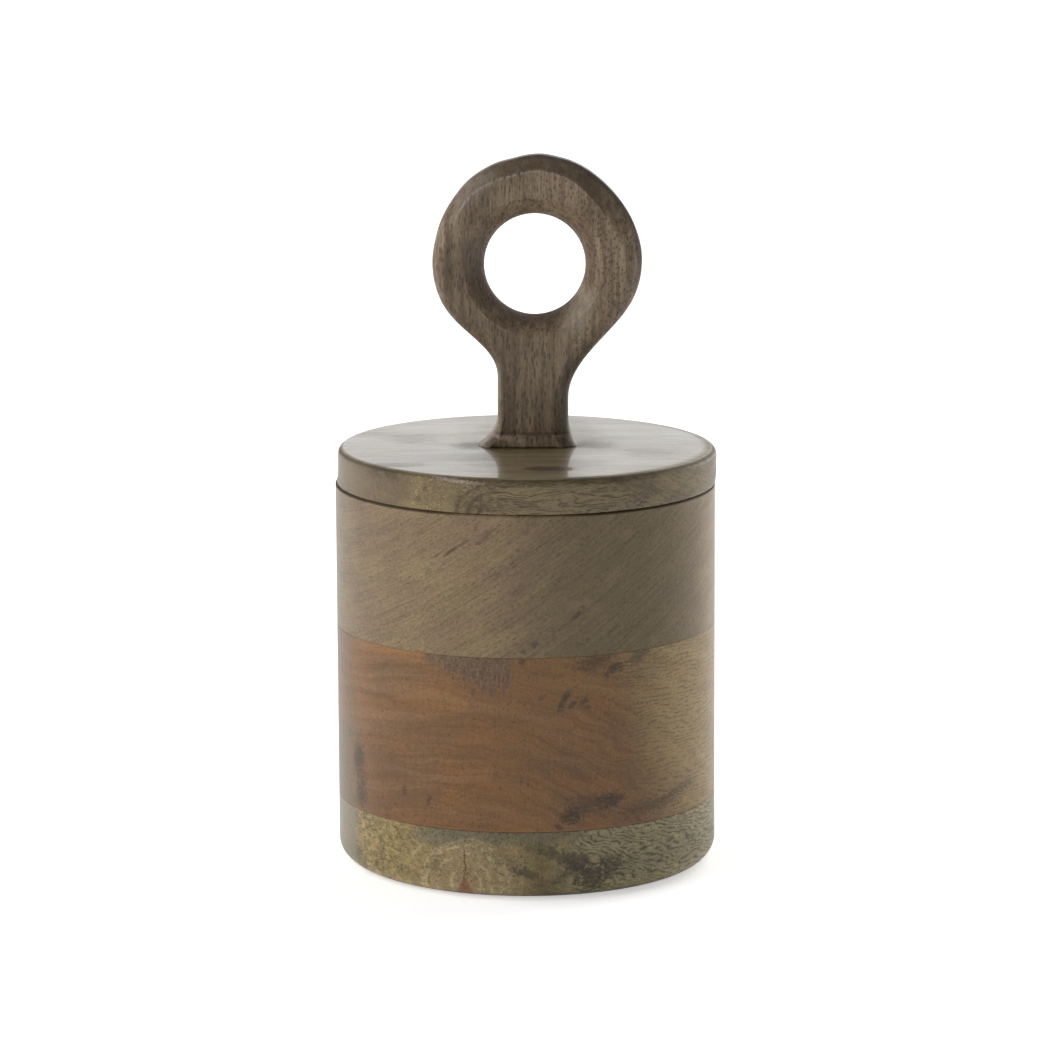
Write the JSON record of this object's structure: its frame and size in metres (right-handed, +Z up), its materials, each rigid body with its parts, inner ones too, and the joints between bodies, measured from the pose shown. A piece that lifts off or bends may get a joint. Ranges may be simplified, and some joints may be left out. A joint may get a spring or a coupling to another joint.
{
  "type": "wooden canister",
  "caption": "Round storage canister turned from stacked glued boards, with a lift-off lid carried by a tall hand-carved ring handle.",
  "frame": {"origin": "centre of the underside, on the surface that the canister stands on", "axes": "+Z up along the pot's axis; the front, with the ring's flat face, is towards -Y; +X is to the right seen from the front"},
  "size_m": [0.1202, 0.1202, 0.2252],
  "materials": {
    "base_wood": "yellow-green grey end grain and side grain under a satin lacquer",
    "middle_wood": "reddish-brown heartwood with a pale sapwood corner under a satin lacquer",
    "upper_wood": "olive grey-brown diagonal grain under a satin lacquer",
    "lid_wood": "brown-grey grain under a glossier lacquer on the top",
    "handle_wood": "dark grey-brown straight grain with open pores, waxed",
    "seal_silicone": "translucent white silicone, matt",
    "screw_steel": "zinc-plated steel"
  },
  "bodies": {
    "pot": {"base_board": "base_wood", "middle_board": "middle_wood", "upper_board": "upper_wood"},
    "seal": {"seal_ring": "seal_silicone"},
    "lid": {"lid_board": "lid_wood", "ring_handle": "handle_wood", "handle_screw": "screw_steel"}
  },
  "joints": [
    {"name": "lid_lift", "type": "slide", "parent": "pot", "child": "seal", "axis": [0, 0, 1], "range_m": [0, 0.08]},
    {"name": "lid_turn", "type": "hinge", "parent": "seal", "child": "lid", "pos_m": [0, 0, 0.1216], "axis": [0, 0, 1], "continuous": true}
  ]
}
